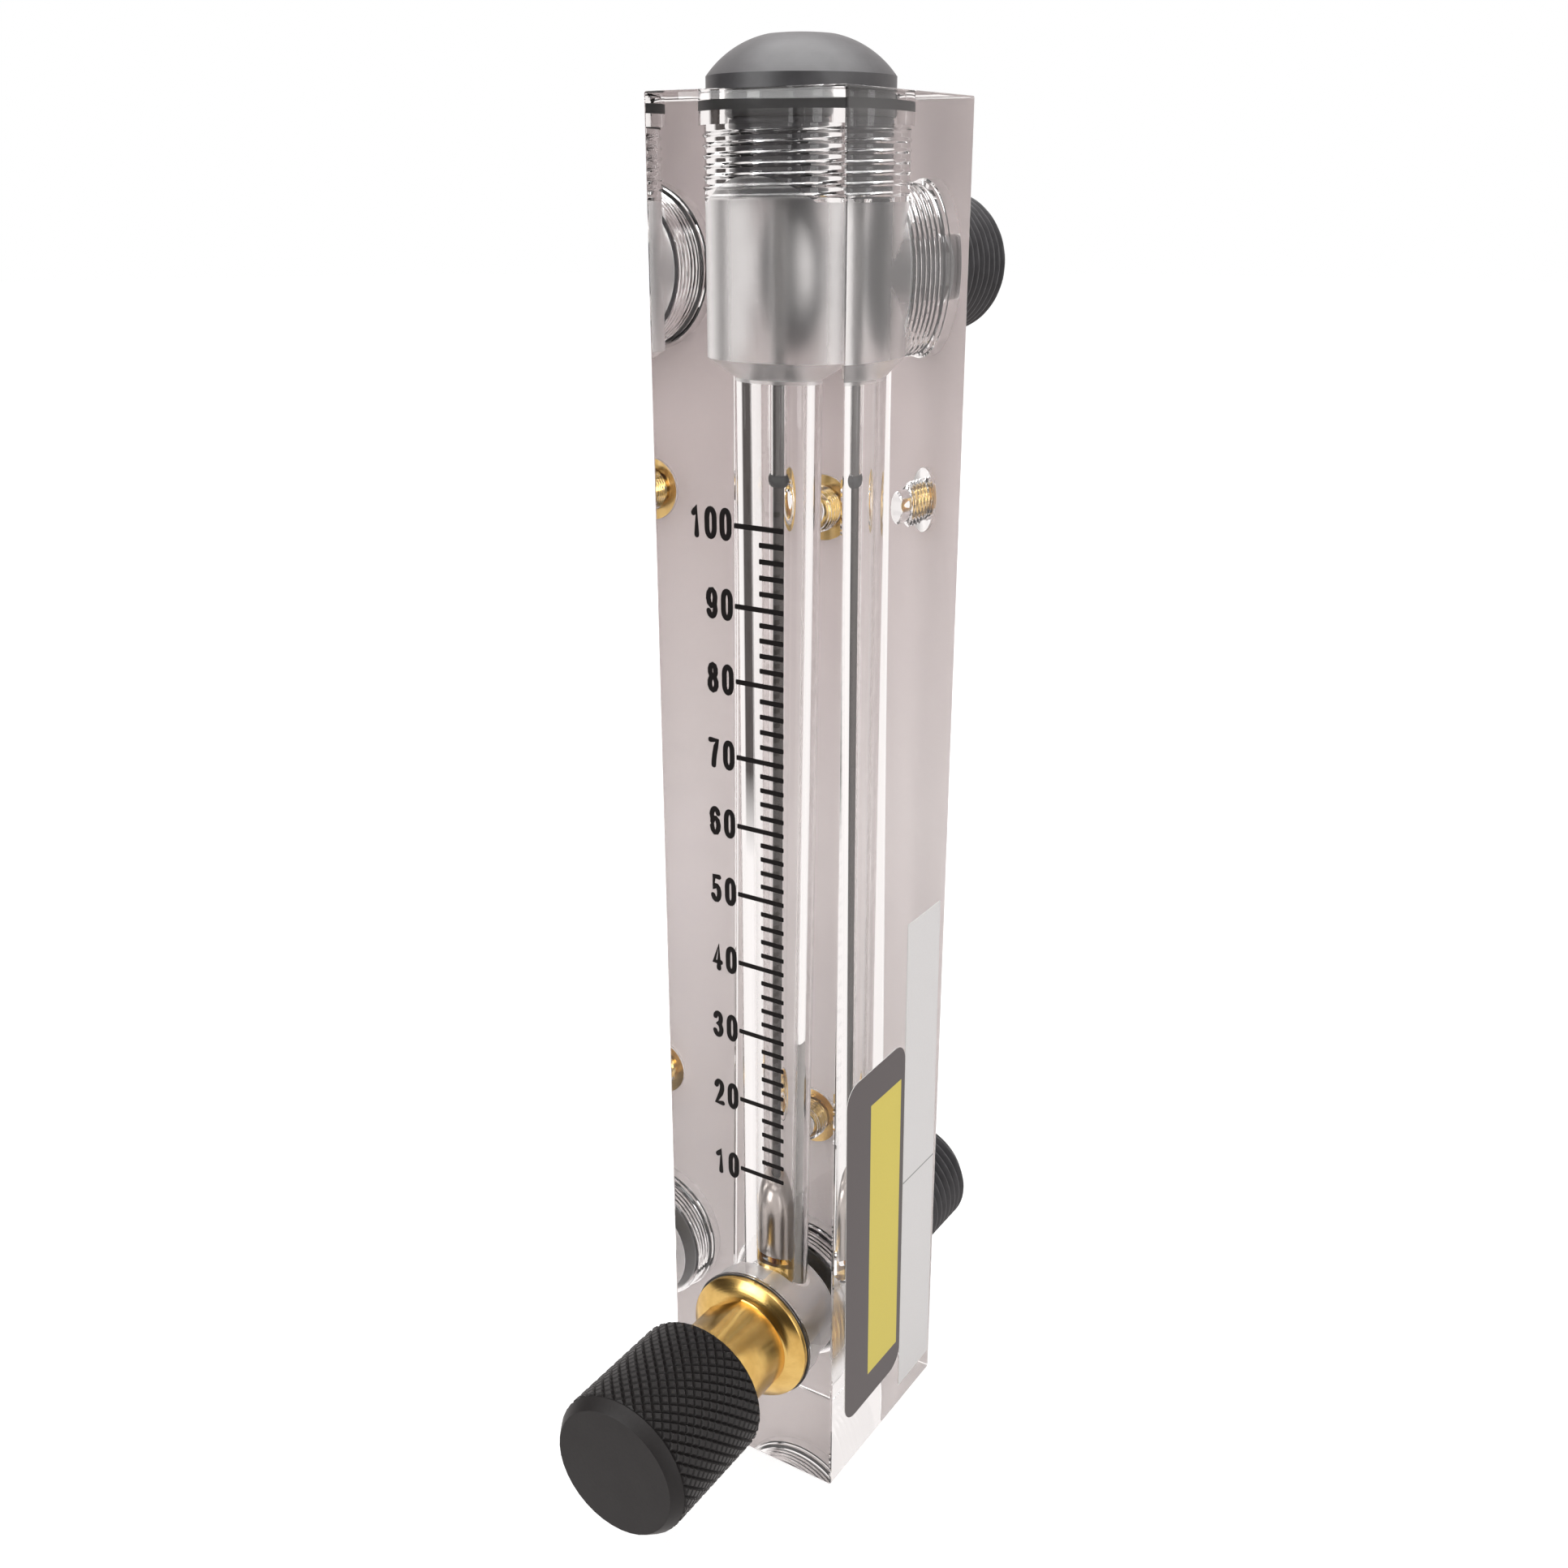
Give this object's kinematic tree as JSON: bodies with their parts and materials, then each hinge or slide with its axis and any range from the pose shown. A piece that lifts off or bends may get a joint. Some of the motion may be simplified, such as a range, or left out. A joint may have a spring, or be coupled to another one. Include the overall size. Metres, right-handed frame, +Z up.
{
  "type": "variable area flow meter",
  "caption": "Clear acrylic block flow meter with a guided float, tapered metering bore, needle valve with knurled knob and threaded back ports.",
  "frame": {"origin": "centre of the block's bottom face, on which it stands", "axes": "+Z up along the metering bore, -Y out of the front face with the scale and the valve knob, +Y out of the back face with the pipe adapters, +X to the viewer's right seen from the front"},
  "size_m": [0.0319, 0.0978, 0.2272],
  "materials": {
    "acrylic": "clear, machined and polished acrylic",
    "dark_plastic": "turned, satin",
    "black_rubber": "smooth, matt",
    "stainless": "turned, bright",
    "dark_steel": "ground, darkened",
    "brass": "turned, satin",
    "clear_tube": "clear plastic tube",
    "knob_plastic": "black, diamond knurled",
    "black_steel": "black oxide",
    "pale_label": "matt film",
    "dark_label": "printed film"
  },
  "bodies": {
    "block": {"meter_body": "acrylic", "top_plug": "dark_plastic", "top_plug_oring": "black_rubber", "guide_rod": "dark_steel", "stop_sleeve": "clear_tube", "stop_bumper": "black_rubber", "float_stop": "brass", "outlet_adapter": "dark_plastic", "outlet_adapter_oring": "black_rubber", "inlet_adapter": "dark_plastic", "inlet_adapter_oring": "black_rubber", "upper_mount_insert": "brass", "lower_mount_insert": "brass", "valve_bonnet": "brass", "bonnet_oring": "black_rubber", "valve_seat": "brass", "rating_sticker": "pale_label", "notice_sticker": "dark_label"},
    "float_body": {"float": "stainless"},
    "stem_lift": {"stem_oring": "black_rubber"},
    "handwheel": {"valve_stem": "stainless", "knob": "knob_plastic", "knob_set_screw": "black_steel"}
  },
  "joints": [
    {"name": "float_rise", "type": "slide", "parent": "block", "child": "float_body", "axis": [0, 0, 1], "range_m": [0, 0.1163]},
    {"name": "valve_lift", "type": "slide", "parent": "block", "child": "stem_lift", "axis": [0, -1, 0], "range_m": [0, 0.0064]},
    {"name": "valve_turn", "type": "hinge", "parent": "stem_lift", "child": "handwheel", "pos_m": [0, -0.01775, 0.0244], "axis": [0, -1, 0], "range_deg": [0, 1800]}
  ],
  "couplings": [
    {"joint": "valve_lift", "follows": "valve_turn", "m_per_rad": 0.00020213}
  ]
}
